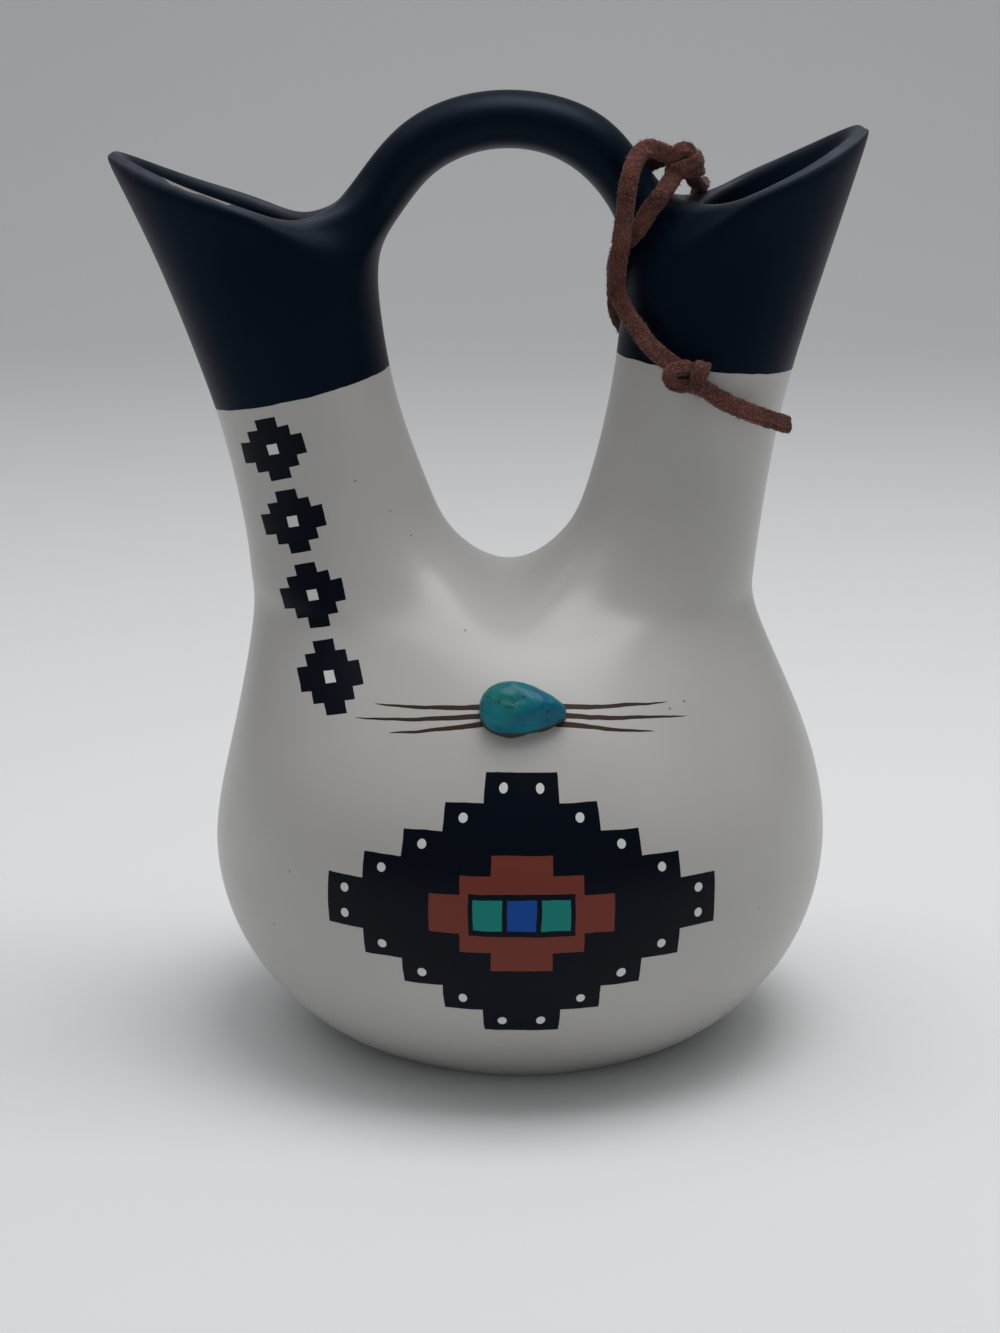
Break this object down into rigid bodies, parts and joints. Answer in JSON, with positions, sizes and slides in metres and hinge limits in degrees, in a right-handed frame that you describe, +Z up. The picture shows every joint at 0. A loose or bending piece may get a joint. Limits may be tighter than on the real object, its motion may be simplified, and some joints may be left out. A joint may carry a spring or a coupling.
{
  "type": "wedding vase",
  "caption": "Round clay vase with two flared, pinched spouts joined by an arched handle, a turquoise nugget on its front and a knotted suede lace.",
  "frame": {"origin": "middle of the flat foot's underside", "axes": "+Z up, +X towards the taller right spout, +Y towards the back, away from the nugget"},
  "size_m": [0.1587, 0.1332, 0.2031],
  "materials": {
    "white_slip": "satin white slip",
    "black_slip": "satin blue-black slip",
    "cement": "dull brown jeweller's cement",
    "turquoise": "polished, with brown matrix",
    "suede": "brushed suede, cut edges"
  },
  "bodies": {
    "root": {"bowl": "white_slip", "shoulder": "white_slip", "spout_left": "black_slip", "spout_right": "black_slip", "handle": "black_slip", "nugget_bed": "cement", "turquoise_nugget": "turquoise", "lace_front": "suede", "lace_end": "suede", "lace_loop": "suede", "lace_back": "suede", "lace_knot_upper": "suede", "lace_knot_lower": "suede"}
  },
  "joints": []
}
